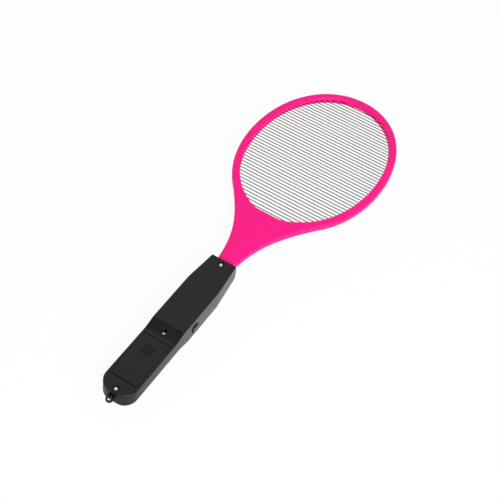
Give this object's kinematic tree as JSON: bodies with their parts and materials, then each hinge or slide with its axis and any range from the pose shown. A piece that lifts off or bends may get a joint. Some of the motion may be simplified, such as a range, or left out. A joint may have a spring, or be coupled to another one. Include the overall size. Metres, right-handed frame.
{
  "type": "electric fly swatter",
  "caption": "Battery-powered racket with an oval hoop strung with parallel wires, a flared neck, and a boxy handle with a side button and a battery door.",
  "frame": {"origin": "centre of the whole swatter's outline, in the plane of the handle's lowest flat, on which it lies face down", "axes": "+Y along the swatter towards the hoop's tip, +X towards the push button, +Z out of the handle's back face with the screws and the battery door"},
  "size_m": [0.1632, 0.5002, 0.0261],
  "materials": {
    "hoop_plastic": "satin pink ABS",
    "casing_plastic": "semi-gloss black ABS",
    "grid_steel": "drawn steel wire",
    "strip_steel": "tinned steel strip",
    "screw_plating": "nickel-plated steel",
    "contact_plating": "nickel-plated steel",
    "cell_wrap": "plain plastic-wrapped steel can",
    "red_insulation": "PVC insulation",
    "black_insulation": "PVC insulation",
    "white_insulation": "silicone insulation",
    "button_plastic": "semi-gloss black ABS",
    "switch_plastic": "moulded nylon",
    "plunger_plastic": "natural acetal",
    "board_laminate": "paper-phenolic laminate",
    "film_capacitor": "dipped epoxy",
    "pump_capacitor": "dipped epoxy",
    "ferrite": "sintered ferrite",
    "winding_tape": "polyester tape over copper wire",
    "diode_epoxy": "moulded epoxy",
    "resistor_coat": "lacquer over ceramic",
    "lamp_epoxy": "diffused epoxy"
  },
  "bodies": {
    "swatter": {"frame_back": "hoop_plastic", "frame_front": "hoop_plastic", "grid_wires_left": "grid_steel", "grid_wires_right": "grid_steel", "bus_strip_left": "strip_steel", "bus_strip_right": "strip_steel", "grid_lead_left": "white_insulation", "grid_lead_right": "white_insulation", "handle_front_shell": "casing_plastic", "handle_rear_shell": "casing_plastic", "case_screws": "screw_plating", "battery_cell_left": "cell_wrap", "battery_cell_right": "cell_wrap", "contact_springs": "contact_plating", "tail_contact_plate": "contact_plating", "head_contact_plate_left": "contact_plating", "head_contact_plate_right": "contact_plating", "battery_lead_left": "black_insulation", "battery_lead_right": "red_insulation", "switch_body": "switch_plastic", "circuit_board": "board_laminate", "board_screws": "screw_plating", "storage_capacitor": "film_capacitor", "transformer_core": "ferrite", "transformer_winding": "winding_tape", "pump_capacitors": "pump_capacitor", "rectifier_diodes": "diode_epoxy", "resistors": "resistor_coat", "transistor": "diode_epoxy", "indicator_led": "lamp_epoxy"},
    "door": {"battery_door": "casing_plastic"},
    "button": {"push_button": "button_plastic"},
    "plunger": {"switch_plunger": "plunger_plastic"}
  },
  "joints": [
    {"name": "door_hinge", "type": "hinge", "parent": "swatter", "child": "door", "pos_m": [0, -0.2258, 0.0228], "axis": [1, 0, 0], "range_deg": [0, 85]},
    {"name": "button_press", "type": "slide", "parent": "swatter", "child": "button", "axis": [-1, 0, 0], "range_m": [0, 0.0015], "stiffness_N_per_m": 400, "springref_m": -0.0005},
    {"name": "plunger_press", "type": "slide", "parent": "swatter", "child": "plunger", "axis": [-1, 0, 0], "range_m": [0, 0.0015]}
  ],
  "couplings": [
    {"joint": "plunger_press", "follows": "button_press", "ratio": 1}
  ]
}
